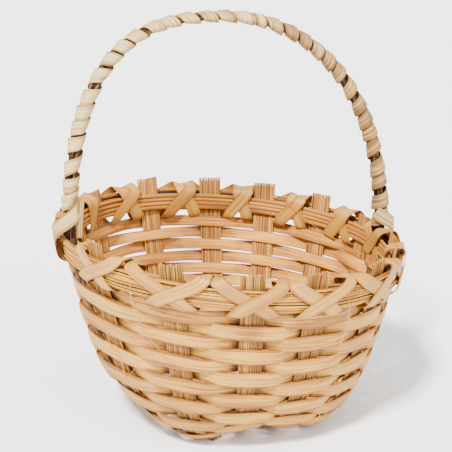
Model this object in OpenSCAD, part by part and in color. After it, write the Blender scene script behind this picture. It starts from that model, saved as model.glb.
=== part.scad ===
// Round woven splint basket with a wrapped hoop handle.
// Eight flat splints cross in a plain-woven floor, turn up and become sixteen wall stakes.
// Thirteen weaver rings go in and out of the stakes, hoops clamp the stake ends at the rim,
// two lashings cross over the hoops, and a cane handle wrapped in a flat strip is pushed
// down into the weave at both ends. The handle lies along X and the floor rests on z = 0.

/* [Bowl] */
// Radius of the flat floor
floor_r = 36; // [35:0.5:37]
// Radius of the wall at the rim
rim_r = 88; // [86:1:92]
// Height of the wall's middle surface at the rim above the floor
wall_h = 98; // [94:1:102]
// Power of the wall's curve: a higher one is rounder near the floor
wall_curve = 3; // [2.8:0.1:3.2]
// Drop of the rim towards +X in degrees
rim_tilt = 5.5; // [0:0.5:6]
// How far the wall is drawn in above the floor's sides, as a share of its radius
base_draw = 0.2; // [0:0.01:0.2]
// How far the wall is raised above the floor's sides
base_lift = 7; // [0:0.5:7]

/* [Splints and weavers] */
// Width of a splint
splint_w = 12; // [10:0.5:12]
// Thickness of a splint
splint_t = 1.2; // [0.8:0.1:1.2]
// Distance between the splints of the floor
floor_pitch = 16; // [15.5:0.5:17]
// Length of the stake ends above the rim
stub_h = 7.5; // [5:0.5:10]
// Distance between the weaver rows along the wall
row_pitch = 7; // [6.8:0.1:7.1]
// Distance along the wall from the rim to the middle of the top row
top_row_drop = 17.3; // [17:0.1:18]
// Width of a weaver
weaver_w = 6.6; // [5:0.1:6.6]
// Thickness of a weaver
weaver_t = 0.8; // [0.5:0.1:0.8]

/* [Rim] */
// Thickness of an outer rim strand
outer_strand_t = 2.2; // [1.6:0.1:2.2]
// Thickness of an inner rim strand
inner_strand_t = 1.6; // [1:0.1:1.6]
// Width of the lashing strip
lashing_w = 5.6; // [4:0.1:5.6]
// Thickness of the lashing strip
lashing_t = 0.45; // [0.3:0.05:0.45]

/* [Handle] */
// Diameter of one cane
cane_d = 2.9; // [2:0.1:2.9]
// Height of the handle's top above the start of its arch
arch_h = 123; // [100:1:140]
// Sideways shift of the handle's top along X
arch_shift = -11; // [-14:1:0]
// Lean of the handle's top along Y
arch_lean = 8; // [0:1:10]
// Width of the wrapping strip
wrap_w = 8; // [6:0.5:8.5]
// Thickness of the wrapping strip
wrap_t = 0.7; // [0.4:0.1:0.7]
// Distance between the turns of the wrapping
wrap_pitch = 9.4; // [9.2:0.1:12]

/* [Hidden] */
floor_count = 4;
row_count = 13;
outer_count = 3;
inner_count = 2;
cane_count = 3;
stake_count = 16;
// Directions of the sixteen stakes in degrees, spaced by eye as on a handmade basket
stake_dirs = [11, 34, 57, 78, 103, 130, 145, 157, 169, 201, 231, 257, 279, 307, 326, 347];

// Floor: height of its middle surface, and how far a splint rises or dips at a crossing
floor_wave = splint_t / 2 + 0.05;
floor_mid = floor_wave + splint_t / 2;
floor_edge = 1.5 * floor_pitch + splint_w / 2 + 0.3;
fan_r = 62;
face_r = 46;
flat_r = 50;
lean_r = 44;
base_start = 30;
base_rise = 16;
base_top = 46;
base_fade = 30;
base_uneven = 0.8;

// Clearances
weave_gap = 0.12;
cane_gap = 0.3;
outer_gap = 2.3;
inner_gap = 2;

// Rim: heights of the hoops' lower and upper edges
outer_low = 87.6;
outer_high = 99.4;
inner_low = 89.6;
inner_high = 98.9;
lash_edge_gap = 9.2;
lash_reach = 0.4;

// Handle
arch_w = rim_r - 0.1;
arch_base = 93.5;
arch_side_power = 0.85;
arch_top_power = 0.83;
// Where the arch meets the legs, as degrees from +X
arch_ends = [1.2, 175];
arch_count = 30;
cane_spare = 0.2;
cane_rows = 8;
cane_sides = 8;
// Directions of the handle's two feet in the wall, and how far the -X foot turns further down
foot_dirs = [0, 181];
foot_turn = 24;
wrap_gap = 0.7;
wrap_side_gap = 0.3;
wrap_sides = 10;
wrap_margin = 1;

// ---- The wall as a surface ----

// How far up the wall a radius lies: 0 on the floor, 1 at the rim
function lift(r) = max(0, (r - floor_r) / (rim_r - floor_r));
function wall_z(r) = floor_mid + wall_h * pow(lift(r), wall_curve);
function wall_r(z) = floor_r + (rim_r - floor_r) * pow((z - floor_mid) / wall_h, 1 / wall_curve);
// Steepness of the wall in degrees
function steep(r) = atan(wall_h * wall_curve * pow(lift(r), wall_curve - 1) / (rim_r - floor_r));
// The radius a distance d further up the wall
function along(r, d) = r + d * cos(steep(r + d * cos(steep(r)) / 2));
// The wall leans with the rim: share is 0 on the floor and 1 at the rim
function lean_share(r) = max(0, min(1, (r - lean_r) / (rim_r - lean_r)));
function leaned(p, share) = settled(p) - [0, 0, tan(rim_tilt) * p.x * share];
// The base stands on its mat and corners: along each side, the round wall is drawn in and up
function eased(t) = let (c = max(0, min(1, t))) c * c * (3 - 2 * c);
function drawn(p, r) =
    pow((p.x * p.x - p.y * p.y) / (r * r), 2) * (1 - base_uneven * max(0, p.x) / r)
    * eased((r - base_start) / base_rise) * (1 - eased((r - base_top) / base_fade));
function settled(p) =
    let (share = drawn(p, norm([p.x, p.y])))
    [p.x * (1 - base_draw * share), p.y * (1 - base_draw * share), p.z + base_lift * share];
// A point of the wall: at radius r and direction dir, then side mm sideways and out mm outwards,
// with the sideways direction square to facing
function spot(r, dir, side, out, facing) =
    let (reach = out * sin(steep(r)))
    leaned([
        r * cos(dir) + reach * cos(facing) - side * sin(facing),
        r * sin(dir) + reach * sin(facing) + side * cos(facing),
        wall_z(r) - out * cos(steep(r))],
        lean_share(r));

// Rows: row 1 is the top one
function row_r(row) =
    row == 1 ? along(along(rim_r, -top_row_drop / 2), -top_row_drop / 2)
    : along(row_r(row - 1), -row_pitch);
row_radii = [for (row = [1:row_count]) row_r(row)];

// Stakes: stake 0 is the first one counter-clockwise from +X. Four leave each side of the floor.
function stake_side(k) = floor((k + 2) / 4) * 90;
function stake_offset(k) = (((k + 2) % 4) - 1.5) * floor_pitch;
function exit_r(k) = norm([floor_edge, stake_offset(k)]);
function exit_dir(k) = stake_side(k) + atan2(stake_offset(k), floor_edge);
function fan(k, r) = min(1, (r - exit_r(k)) / (fan_r - exit_r(k)));
function turn_to(from, to) = from + ((to - from + 540) % 360 - 180);
function stake_dir(k, r) =
    let (from = exit_dir(k), to = turn_to(from, stake_dirs[k]))
    from + (to - from) * fan(k, r);
function stake_facing(k, r) =
    let (square = min(1, (r - exit_r(k)) / (face_r - exit_r(k))))
    stake_side(k) + (stake_dir(k, r) - stake_side(k)) * square;
// Even stakes leave the floor low and odd stakes high
function stake_lift(k, r) =
    (k % 2 == 0 ? 1 : -1) * floor_wave * max(0, min(1, (flat_r - r) / (flat_r - face_r + 2)));
stake_radii_wall = concat(
    [for (row = [row_count:-1:1]) along(row_radii[row - 1], -row_pitch / 2)],
    [along(row_radii[0], row_pitch / 2), rim_r, along(rim_r, stub_h)]);
wall_start = stake_radii_wall[0];
function stake_radii(k) = concat(
    [for (f = [0.35, 0.7]) exit_r(k) + (wall_start - exit_r(k)) * f], stake_radii_wall);

// ---- Swept solids ----

// Joins cross-sections, each a list of points counter-clockwise as seen from ahead
module sweep(sections, closed = false) {
    n = len(sections);
    m = len(sections[0]);
    sides = [for (i = [0:n - (closed ? 1 : 2)], j = [0:m - 1])
        [i * m + j, ((i + 1) % n) * m + j, ((i + 1) % n) * m + (j + 1) % m, i * m + (j + 1) % m]];
    ends = closed ? [] : [[for (j = [0:m - 1]) j], [for (j = [m - 1:-1:0]) (n - 1) * m + j]];
    polyhedron(points = [for (s = sections) each s], faces = concat(sides, ends), convexity = 10);
}

// ---- Floor splints and stakes ----

// One cross-section of a stake; hand is -1 on the end that the sweep walks down
function stake_section(k, r, hand) =
    [for (c = [[1, -1], [1, 1], [-1, 1], [-1, -1]])
        spot(r, stake_dir(k, r), c[1] * hand * splint_w / 2,
            c[0] * splint_t / 2 + stake_lift(k, r), stake_facing(k, r))];

// One cross-section of a floor splint, at distance x along it
function floor_section(side, offset, x, z) =
    [for (c = [[-1, -1], [1, -1], [1, 1], [-1, 1]])
        let (y = offset + c[0] * splint_w / 2)
        [x * cos(side) - y * sin(side), x * sin(side) + y * cos(side), z + c[1] * splint_t / 2]];

// Head stake, tail stake and the floor stretch between them
module splint(head, tail) {
    side = stake_side(head);
    offset = stake_offset(head);
    phase = head % 2 == 0 ? -1 : 1;
    flat = splint_w / 2 + 0.3;
    tail_radii = stake_radii(tail);
    sweep(concat(
        [for (i = [len(tail_radii) - 1:-1:0]) stake_section(tail, tail_radii[i], -1)],
        [for (i = [0:floor_count - 1], e = [-flat, flat])
            floor_section(side, offset, (i - 1.5) * floor_pitch + e,
                floor_mid + phase * (i % 2 == 0 ? -1 : 1) * floor_wave)],
        [for (r = stake_radii(head)) stake_section(head, r, 1)]));
}

// Long splint i runs along X and cross splint i along Y
module splint_long(i) {
    head = (i + 13) % stake_count;
    color("burlywood") splint(head, (23 - head) % stake_count);
}

module splint_cross(i) {
    head = i + 1;
    color("wheat") splint(head, stake_count - 1 - head);
}

// ---- Weavers ----

// 1 where the row passes outside the stake and -1 where it passes inside
function weave_side(row, k) = (row + k) % 2 == 1 ? 1 : -1;
function weaver_section(low, high, dirs, side, out) =
    [for (c = [[0, -1], [1, -1], [1, 1], [0, 1]])
        spot(c[0] == 0 ? low : high, dirs[c[0]], side, out + c[1] * weaver_t / 2, dirs[c[0]])];

// Direction of the handle's foot in the wall: foot 0 is at +X and foot 1 at -X
function foot_dir(foot, r) = foot_dirs[foot] + (foot == 1 ? foot_turn * (1 - lift(r)) : 0);
// The foot that stands in the space after stake k, or -1
function foot_in(k, row) = row > cane_rows ? -1 : k == stake_count - 1 ? 0 : k == 8 ? 1 : -1;

module weaver_row(row) {
    low = along(row_radii[row - 1], -weaver_w / 2);
    high = along(row_radii[row - 1], weaver_w / 2);
    past_stake = splint_w / 2 + 0.6;
    past_cane = cane_size(0) + cane_spare + cane_d / 2 + 0.3;
    off_stake = (splint_t + weaver_t) / 2 + weave_gap;
    off_cane = (cane_d + weaver_t) / 2 + cane_gap;
    color(row % 3 == 0 ? "navajowhite" : row % 3 == 1 ? "bisque" : "moccasin")
    sweep([for (k = [0:stake_count - 1])
        let (
            next = (k + 1) % stake_count,
            here = [stake_dir(k, low), stake_dir(k, high)],
            there = [turn_to(here[0], stake_dir(next, low)), turn_to(here[1], stake_dir(next, high))],
            foot = foot_in(k, row))
        each concat(
            [for (e = [-1, 1])
                weaver_section(low, high, here, e * past_stake, weave_side(row, k) * off_stake)],
            foot < 0 ? [weaver_section(low, high, (here + there) / 2, 0, 0)]
            : [for (e = [-1, 1])
                weaver_section(low, high, [foot_dir(foot, low), foot_dir(foot, high)],
                    e * past_cane, weave_side(row, 1) * off_cane)])],
        closed = true);
}

// ---- Rim hoops ----

// A flat strand with round edges, bent into a hoop that leans with the rim
module hoop(low, high, thickness, gap) {
    middle = (low + high) / 2;
    translate([0, 0, middle])
    rotate([0, rim_tilt, 0])
    rotate_extrude($fn = 96)
    translate([wall_r(middle) + gap, 0]) {
        square([thickness, high - low - thickness], center = true);
        for (e = [-1, 1]) translate([0, e * (high - low - thickness) / 2]) circle(d = thickness, $fn = 24);
    }
}

module rim_outer_strand(i) {
    height = (outer_high - outer_low) / outer_count;
    color("goldenrod")
    hoop(outer_low + (i - 1) * height + 0.05, outer_low + i * height - 0.05,
        outer_strand_t, outer_gap + outer_strand_t / 2);
}

module rim_inner_strand(i) {
    height = (inner_high - inner_low) / inner_count;
    color("peru")
    hoop(inner_low + (i - 1) * height + 0.05, inner_low + i * height - 0.05,
        inner_strand_t, -inner_gap - inner_strand_t / 2);
}

// ---- Rim lashings ----

// Where a lashing goes between the stubs, as a share of the space after stake k
function rim_space(k) = turn_to(stake_dirs[k], stake_dirs[(k + 1) % stake_count]) - stake_dirs[k];
function pass_share(k) =
    let (edge = lash_edge_gap / (rim_r * rim_space(k) * PI / 180))
    foot_in(k, 1) >= 0 ? edge : max(lash_reach, edge);
function space_dir(k, share) = stake_dirs[k] + rim_space(k) * share;

// The path round the hoops at distance d: radius, height, outward normal, share of the crossing
function lash_round(d) = let (
        low_out = wall_r(outer_low + 2) + outer_gap + outer_strand_t + 0.25,
        high_out = wall_r(outer_high - 1) + outer_gap + outer_strand_t + 0.25,
        low_in = wall_r(inner_low + 2) - inner_gap - inner_strand_t - 1.2,
        high_in = wall_r(inner_high - 1) - inner_gap - inner_strand_t - 1.2,
        bottom = outer_low - d, top = outer_high + d)
    concat(
        [[low_in + 1.5, bottom, 0, -1, 0], [low_out - 0.8, bottom, 0, -1, 0]],
        [for (f = [0, 0.25, 0.5, 0.75, 1])
            [low_out + (high_out - low_out) * f + d, outer_low + 0.7 + 10.2 * f, 1, 0, f]],
        [[high_out - 0.8, top, 0, 1, 1], [high_in + 0.8, top, 0, 1, 1]],
        [for (f = [0, 0.5, 1])
            [high_in + (low_in - high_in) * f - d, inner_high - 0.9 - 7.6 * f, -1, 0, 1 + f]]);

// way is 1 for the lashing that rises counter-clockwise outside and -1 for the other one
module lashing(d, way) {
    sections = [for (i = [0:stake_count - 1], p = lash_round(d))
        let (
            k = way > 0 ? i : stake_count - 1 - i,
            before = (k + stake_count - 1) % stake_count,
            start = way > 0 ? space_dir(before, 1 - pass_share(before)) : space_dir(k, pass_share(k)),
            rise_to = way > 0 ? space_dir(k, pass_share(k)) : space_dir(before, 1 - pass_share(before)),
            fall_to = way > 0 ? space_dir(k, 1 - pass_share(k)) : space_dir(before, pass_share(before)),
            from = turn_to(stake_dirs[k], start),
            top = turn_to(stake_dirs[k], rise_to),
            to = turn_to(stake_dirs[k], fall_to),
            dir = p[4] <= 1 ? from + (top - from) * p[4] : top + (to - top) * (p[4] - 1))
        [for (c = [[-1, -1], [1, -1], [1, 1], [-1, 1]])
            let (
                r = p[0] + p[2] * c[1] * lashing_t / 2,
                z = p[1] + p[3] * c[1] * lashing_t / 2,
                side = -c[0] * lashing_w / 2)
            leaned([r * cos(dir) - side * sin(dir), r * sin(dir) + side * cos(dir), z], 1)]];
    sweep(sections, closed = true);
}

module rim_lashing_under() {
    color("antiquewhite") lashing(0.5, -1);
}

module rim_lashing_over() {
    color("blanchedalmond") lashing(1.15, 1);
}

// ---- Handle ----

arch_steps = [for (i = [0:arch_count]) arch_ends[1] + (arch_ends[0] - arch_ends[1]) * i / arch_count];

// Middle line of the handle, from t = 180 at -X over the top to t = 0 at +X
function arch(t) = [
    arch_w * sign(cos(t)) * pow(abs(cos(t)), arch_side_power) + arch_shift * pow(sin(t), 2),
    arch_lean * sin(t),
    arch_base + arch_h * pow(sin(t), arch_top_power)];
// Length along the handle from its -X end, as a table of [length, t]
arch_table = [for (i = 0, run = 0; i <= arch_count;
        run = run + (i < arch_count ? norm(arch(arch_steps[i + 1]) - arch(arch_steps[i])) : 0),
        i = i + 1) [run, arch_steps[i]]];
arch_run = arch_table[arch_count][0];
function unit(v) = v / norm(v);
// Across the handle: sideways and outwards
function arch_frame(t) = let (
        ahead = unit(arch(t - 0.5) - arch(t + 0.5)),
        across = unit([0, 1, 0] - ahead * ahead.y))
    [across, cross(ahead, across)];
// The canes lie flat in the wall, in a triangle in the legs and nearly flat again at the top
function bundle_angle(t) = (12 + 48 * abs(cos(t))) * min(1, 5 * sin(t));
// A cane thins towards the top
function cane_size(t) = cane_d * (0.8 + 0.2 * abs(cos(t)));
function cane_pitch(t) = cane_size(t) + cane_spare;
// Place of cane i in the bundle: sideways and outwards
function cane_place(i, t, angle) =
    i == 2 ? [0, cane_pitch(t) * sin(angle) * 2 / 3]
    : [(i - 2) * cane_pitch(t) * cos(angle), -cane_pitch(t) * sin(angle) / 3];
function ring(middle, across, outwards, size) =
    [for (j = [0:cane_sides - 1])
        let (a = 360 * j / cane_sides)
        middle + (across * cos(a) + outwards * sin(a)) * size / 2];

function foot_rings(foot, i, radii) = [for (r = radii)
    let (
        dir = foot_dir(foot, r),
        hand = foot == 0 ? 1 : -1,
        middle = spot(r, dir, hand * cane_place(i, 0, 0).x, 0, dir),
        outwards = [cos(dir) * sin(steep(r)), sin(dir) * sin(steep(r)), -cos(steep(r))])
    ring(middle, [-sin(dir) * hand, cos(dir) * hand, 0], outwards, cane_d)];

module handle_cane(i) {
    radii = concat([along(row_radii[cane_rows - 1], -row_pitch / 2)],
        [for (row = [cane_rows:-1:1]) row_radii[row - 1]], [along(row_radii[0], row_pitch), rim_r]);
    down = [for (j = [len(radii) - 1:-1:0]) radii[j]];
    color("saddlebrown")
    sweep(concat(
        foot_rings(1, i, radii),
        [for (t = arch_steps)
            let (frame = arch_frame(t), place = cane_place(i, t, bundle_angle(t)))
            ring(arch(t) + frame[0] * place.x + frame[1] * place.y, frame[0], frame[1], cane_size(t))],
        foot_rings(0, i, down)));
}

module handle_wrap() {
    first = wrap_margin + wrap_w / 2;
    step = wrap_pitch / wrap_sides;
    count = floor((arch_run - 2 * first) / step);
    color("antiquewhite")
    sweep([for (i = [0:count])
        [for (c = [[-1, -1], [1, -1], [1, 1], [-1, 1]])
            let (
                t = lookup(first + i * step + c[0] * wrap_w / 2, arch_table),
                a = 360 * i / wrap_sides,
                layer = cane_size(t) / 2 + wrap_gap + (c[1] + 1) / 2 * wrap_t,
                angle = bundle_angle(t),
                frame = arch_frame(t))
            arch(t)
                + frame[0] * cos(a) * (cane_pitch(t) * cos(angle) + layer + wrap_side_gap)
                + frame[1] * (sin(a) * (cane_pitch(t) * sin(angle) / 2 + layer)
                    + cane_pitch(t) * sin(angle) / 6)]]);
}

// ---- Nodes ----

for (i = [1:floor_count]) splint_long(i);
for (i = [1:floor_count]) splint_cross(i);
for (i = [1:row_count]) weaver_row(i);
for (i = [1:outer_count]) rim_outer_strand(i);
for (i = [1:inner_count]) rim_inner_strand(i);
rim_lashing_under();
rim_lashing_over();
for (i = [1:cane_count]) handle_cane(i);
handle_wrap();
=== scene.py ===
import math
import bpy
import numpy as np
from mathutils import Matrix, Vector


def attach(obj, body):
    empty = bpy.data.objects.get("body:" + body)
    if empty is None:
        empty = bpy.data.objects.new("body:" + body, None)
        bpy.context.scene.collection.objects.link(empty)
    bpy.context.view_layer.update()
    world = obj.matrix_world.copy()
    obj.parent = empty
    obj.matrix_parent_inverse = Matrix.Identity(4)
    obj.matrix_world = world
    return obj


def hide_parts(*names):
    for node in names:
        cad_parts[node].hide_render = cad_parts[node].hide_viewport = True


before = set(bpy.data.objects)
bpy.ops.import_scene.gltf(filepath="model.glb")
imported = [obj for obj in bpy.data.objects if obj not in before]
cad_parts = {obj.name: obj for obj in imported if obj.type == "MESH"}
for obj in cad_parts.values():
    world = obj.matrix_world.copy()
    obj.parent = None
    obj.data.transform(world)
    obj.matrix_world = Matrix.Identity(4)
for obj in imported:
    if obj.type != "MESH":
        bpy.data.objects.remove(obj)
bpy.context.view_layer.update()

# ---- Sizes, in millimetres as in the CAD model; meshes are scaled to metres at the end ----

MM = 0.001
UP = np.array([0.0, 0.0, 1.0])

# Wall: a cubic profile from the floor's edge to the rim, leaning down towards +X
FLOOR_R, RIM_R, WALL_H = 36.0, 88.0, 98.0
RIM_TILT = math.tan(math.radians(5.5))
LEAN_R = 44.0

# Round base, drawn in and up in the middle of each side; two corners bulge at the front
BASE_START, BASE_RISE, BASE_TOP, BASE_FADE = 30.0, 16.0, 46.0, 30.0
BASE_DRAW, BASE_LIFT, BASE_UNEVEN = 0.2, 7.0, 0.8
BASE_LUMPS, LUMP_SPREAD = (213.5, 304.3), 8.0
LUMP_WIDER, LUMP_OUT = 1.6, 2.2

# Floor mat of 4 by 4 splints, which turn up as the 16 stakes
SPLINT_W = 12.0
FLOOR_PITCH, FLOOR_MID, FLOOR_WAVE = 16.0, 1.25, 0.65
FLOOR_EDGE, LOWEST = 30.3, 0.52
STAKES = 16
STAKE_DIRS = [11, 34, 57, 78, 103, 130, 145, 157, 169, 201, 231, 257, 279, 307, 326, 347]

# Radii where the stakes face outwards, leave the floor's weave and reach their directions
FACE_R, TURN_R, FAN_R = 46.0, 50.0, 62.0

# Stake ends above the rim: height, how much shorter some are, and how uneven their slivers' ends
STUB_H, STUB_SHORT = 8.4, {0: 3.5, 5: 2.6, 15: 3.0}
RAGGED_FRONT, RAGGED_BACK = 0.6, 0.2
STAKE_PUSH = 0.3

# Each splint is a bundle of slivers on a dark core, spread and splayed towards its cut ends;
# the core's dark outer face is painted shade between the slivers
SLIVERS, SLIVER_FILL = 14, 0.87
SLIVER_T, SLIVER_SHARE = (0.7, 1.0), (0.7, 1.3)
SLIVER_DRIFT, SLIVER_WAVE, SLIVER_STEP = 0.10, 0.11, 0.10
FLARE, FLARE_RUN, SPLAY, SPLAY_RUN = 0.06, 24, 0.45, 14
CORE_T, CORE_EDGE = 0.35, 0.6

# Weavers, row 1 at the top: thickness, distance out of the wall and width, over and under stakes
ROWS, ROW_PITCH, TOP_ROW_DROP = 13, 7.0, 17.3
WEAVER_T, CUP, FULL_OUT = 0.65, 0.28, 1.7
OUT_OVER, OUT_UNDER, OUT_UNEVEN = 1.85, -1.35, 0.15
WIDE_OVER, WIDE_UNDER, MIDDLE_W, WIDE_UNEVEN = 9.4, 8.3, 8.3, 0.3

# Weavers stay flat by a stake for HOLD mm, and near their outer side for STAY of the way to the next
HOLD, STAY = 4.5, 0.3
FLAT_ROWS, FLAT_SHARE = 2, 0.75
EDGE_WAVE, EDGE_RIPPLE, ROW_WOBBLE, TWIST = 0.25, 0.14, 0.28, 0.05
BACK_NARROW, BACK_ROWS, BACK_LOW = 0.24, 7, 0.4

# Tones: usual value, step from strip to strip, wander along the strip; then a painted shade along a weaver's
# edges, a stain
WEAVER_TONE, SLIVER_TONE = (0.5, 0.08, 0.07), (0.5, 0.12, 0.05)
WEAVER_EDGE_SHADE = -0.42
STAIN_ROWS, STAIN_DIR, STAIN_SPREAD, STAIN_DARK = (1, 2), 256.0, 5.0, 0.3

# Painted shade behind stakes: how strong, from how far out of the wall, over what distance
INNER_SHADE, INNER_FROM, INNER_OVER = 0.35, 0.5, 1.2
OUTER_SHADE, OUTER_FROM, OUTER_OVER = 1.0, 0.65, 0.8

# Rim bundles: heights, dark cores that are painted shade between the slivers,
# and slivers as distance out of the wall, size and straying
OUTER_LOW, OUTER_HIGH = 87.4, 100.0
INNER_LOW, INNER_HIGH = 89.6, 98.9
CORE_OUT, CORE_IN, RIM_CORE_T, RIM_CORE_EDGE = 2.6, -2.3, 0.5, 0.8
BROAD_OUT, BROAD_SIZE, BROAD_STRAY = 3.3, (1.8, 1.7), 0.45
FINE_OUT, FINE_SIZE, FINE_STRAY = 4.0, (0.9, 0.9), 0.9
INNER_OUT, INNER_SIZE, INNER_STRAY = -2.8, (1.5, 2.2), 0.25

# Two lashing strips: width, how narrow between stakes, and where they pass and cross the rim
LASH_W, LASH_TIGHT, LASH_TUCKED, LASH_T = 7.3, 5.6, 6.6, 0.5
LASH_SIDE, LASH_EDGE, LASH_OUT, LASH_UNEVEN, LASH_ROOM = 9.8, 9.4, (0.5, 1.1), 0.5, 0.8
PEAK_OVER, PEAK_UNDER, PEAK_SWAY = 0.36, 0.52, 0.05

# Outline of the lashings: distance from the wall, below the outer bundle and above both
LASH_CLEAR, LASH_CLEAR_TOP = 4.6, 4.7
BELOW_IN, BELOW_OUT, ABOVE_OUT, ABOVE_IN = 2.2, 1.9, 3.0, 2.2
CORNER_IN, CORNER_ROUND, LASH_BULGE = 1.6, 0.4, 0.35

# Handle: three canes down to row 8, folded from a row at the feet into a bundle
FOOT_DIRS, FOOT_TURN, FOOT_OUT = (0.0, 181.0), 24.0, 2.3
CANE_ROWS, CANE_BELOW, FOOT_TOP = 8, 3.5, 88.0
CANE_D, CANE_GAP, TOP_SLIM, FOOT_SLIM = 2.9, 0.2, 0.2, 0.38
CANE_TONE, FOOT_LIGHTER = 0.48, 0.24
FOLD_TOP, FOLD_FOOT, FOLD_START = 12, 48, 5

# Arch: half width, foot height, rise, and how far its top leans to the left and to the back
ARCH_W, ARCH_BASE, ARCH_H, ARCH_SHIFT, ARCH_LEAN = 87.9, 93.5, 123.0, -11.0, 8.0
ARCH_ENDS, ARCH_ROUND, ARCH_PEAK = (1.2, 175.0), 0.85, 0.83

# The strip wound round the canes: size, pitch, and how uneven its turns are
WRAP_W, WRAP_T, WRAP_PITCH, WRAP_SIDES = 7.7, 0.55, 9.4, 28
WRAP_TILT, WRAP_CUP, WRAP_CLEAR = 0.14, 0.18, 0.95
WRAP_START, WRAP_BELOW = 14.0, 9.0
PITCH_UNEVEN, WIDTH_UNEVEN, WRAP_SLACK, END_SLACK = 0.8, 0.6, 0.15, 0.8
# Wrap tone, and how much lighter it is on the left leg, partly a painted highlight, and browner on the right
WRAP_TONE, WRAP_LEFT_HIGHLIGHT_RIGHT_BROWN = 0.54, 0.17

# Wide gaps between turns of the wrapping: side of the handle, height, how far each turn moves away
WRAP_GAPS = [(-1, 138.3, 1.1), (-1, 151.8, 1.1), (-1, 163.7, 0.8), (-1, 184.2, 1.7), (-1, 210.9, 1.4),
             (1, 134.0, 2.0), (1, 118.2, 2.2), (1, 170.0, 1.4), (1, 180.2, 1.3)]
GAP_SHARP, GAP_SPREAD = 2.5, 1.6

# Loose ends of the wrapping: width, the leg's axis, then points along each one
WRAP_ENDS = [
    (7.6, (-86, 1), [(-83, -2, 128), (-84.5, -6.5, 125), (-88.5, -8, 121.5), (-93, -6.5, 118),
                     (-96.5, -2.5, 114.5), (-96.5, 2, 109), (-93.5, 5, 102), (-91, 7, 98), (-87, 8, 96)]),
    (3.4, (-86, 4), [(-84.8, -6.6, 110), (-84.3, -6.8, 120), (-83.2, -6.6, 130)]),
    (7.4, (86, 1), [(83.5, -4, 104.5), (86, -7.6, 102.5), (90, -7.6, 100), (94, -4.5, 97), (95.5, -1.5, 93),
                    (94.5, 0, 88.5), (93, 1, 83), (90.5, 2, 78.5), (87, 2.5, 77.5)]),
]

# Long loose fibres on the outside, as (radius, direction, distance out) along each one
LOOSE = [
    [(87.5, 218.0, 4.4), (86.0, 217.0, 5.0), (83.5, 218.5, 4.4), (81.0, 222.0, 3.4), (78.5, 228.0, 2.4)],
    [(84.5, 212.0, 2.6), (86.0, 220.0, 4.2), (85.0, 228.0, 3.4), (84.5, 233.0, 2.4)],
    [(78.5, 203.5, 2.4), (76.0, 205.0, 3.2), (73.0, 204.5, 3.0), (70.0, 207.0, 2.4)],
    [(68.0, 290.0, 2.4), (66.0, 292.5, 4.2), (63.0, 292.0, 4.0), (61.0, 290.0, 2.6)],
    [(87.0, 290.0, 4.6), (84.0, 291.5, 5.4), (80.5, 290.5, 3.0)],
]
LOOSE_D = 0.6

# Short fibres: count, radius, reach, lift off the strip and thickness
SHORT_FIBRES, FIBRE_R, FIBRE_REACH = 48, (58, 86), (5, 13)
FIBRE_LIFT, FIBRE_D, SKIN = (0.5, 2.5), (0.25, 0.4), 2.6
OUTSIDE_SHARE, FIBRE_SUNK, FIBRE_FREE = 0.7, 0.6, 0.8

# One loose fibre across the bowl and over the rim, as (radius, direction, height)
RIM_FIBRE = [(86.0, 50, 101.0), (74.0, 30, 92.0), (76.0, -5, 88.0), (84.0, -24, 99.0), (92.5, -29, 100.0),
             (93.0, -31, 96.5), (90.5, -33, 94.0)]
RIM_FIBRE_D = 0.45

# The weathered end of the first weaver, under the floor's edge
TAIL = [(33.0, 216, 0.5), (39.0, 226, 0.5), (43.5, 241, 0.6)]
TAIL_W, TAIL_T = 7.5, 0.6

# Light and camera; suns are name, turn, rise, power and spread
# Turn is degrees round from the front and rise is degrees up from the floor
STAGE_SIZE, WORLD_LIGHT = 40.0, 1.5
SUNS = [("key", -42, 50, 11.0, 9), ("fill", 25, 30, 2.2, 30)]
CAMERA_TURN, CAMERA_RISE, CAMERA_FAR = -20, 18.46, 0.8516
LENS, SHIFT_X, SHIFT_Y = 126.7, -0.0104, 0.0215


# ---- Small helpers ----

def rng(seed):
    return np.random.default_rng(seed)


def unit(v):
    return v / np.maximum(np.linalg.norm(v, axis=-1, keepdims=True), 1e-9)


def smooth(t):
    t = np.clip(t, 0, 1)
    return t * t * (3 - 2 * t)


def gentle(t):
    """Half way between a straight ramp and a smooth one."""
    return 0.6 * np.clip(t, 0, 1) + 0.4 * smooth(t)


def wander(seed, x, period, count=4):
    """A smooth random curve of about unit height over x, that repeats after period."""
    r = rng(seed)
    out = np.zeros_like(x, dtype=float)
    for n in range(1, count + 1):
        out += r.normal() * np.sin(2 * math.pi * (n * x / period + r.random())) / math.sqrt(n)
    return out / math.sqrt(count)


def turn_to(a, b):
    return a + ((b - a + 540) % 360 - 180)


def polar(r, degrees):
    a = np.radians(degrees)
    return np.stack([r * np.cos(a), r * np.sin(a)], -1)


def varied(tone, r, seed, x, period, count):
    """Tone along a strip: its usual value, a step of the strip's own and a slow wander."""
    usual, step, wave = tone
    return usual + step * r.normal() + wave * wander(seed, x, period, count)


# ---- The wall as a surface ----

def lift(r):
    return np.maximum(0, (np.asarray(r, float) - FLOOR_R) / (RIM_R - FLOOR_R))


def wall_z(r):
    return FLOOR_MID + WALL_H * lift(r) ** 3


def wall_r(z):
    return FLOOR_R + (RIM_R - FLOOR_R) * np.cbrt(np.maximum(0, (z - FLOOR_MID) / WALL_H))


def steep(r):
    return np.arctan(3 * WALL_H * lift(r) ** 2 / (RIM_R - FLOOR_R))


def along(r, d):
    return r + d * np.cos(steep(r + d * np.cos(steep(r)) / 2))


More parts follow.
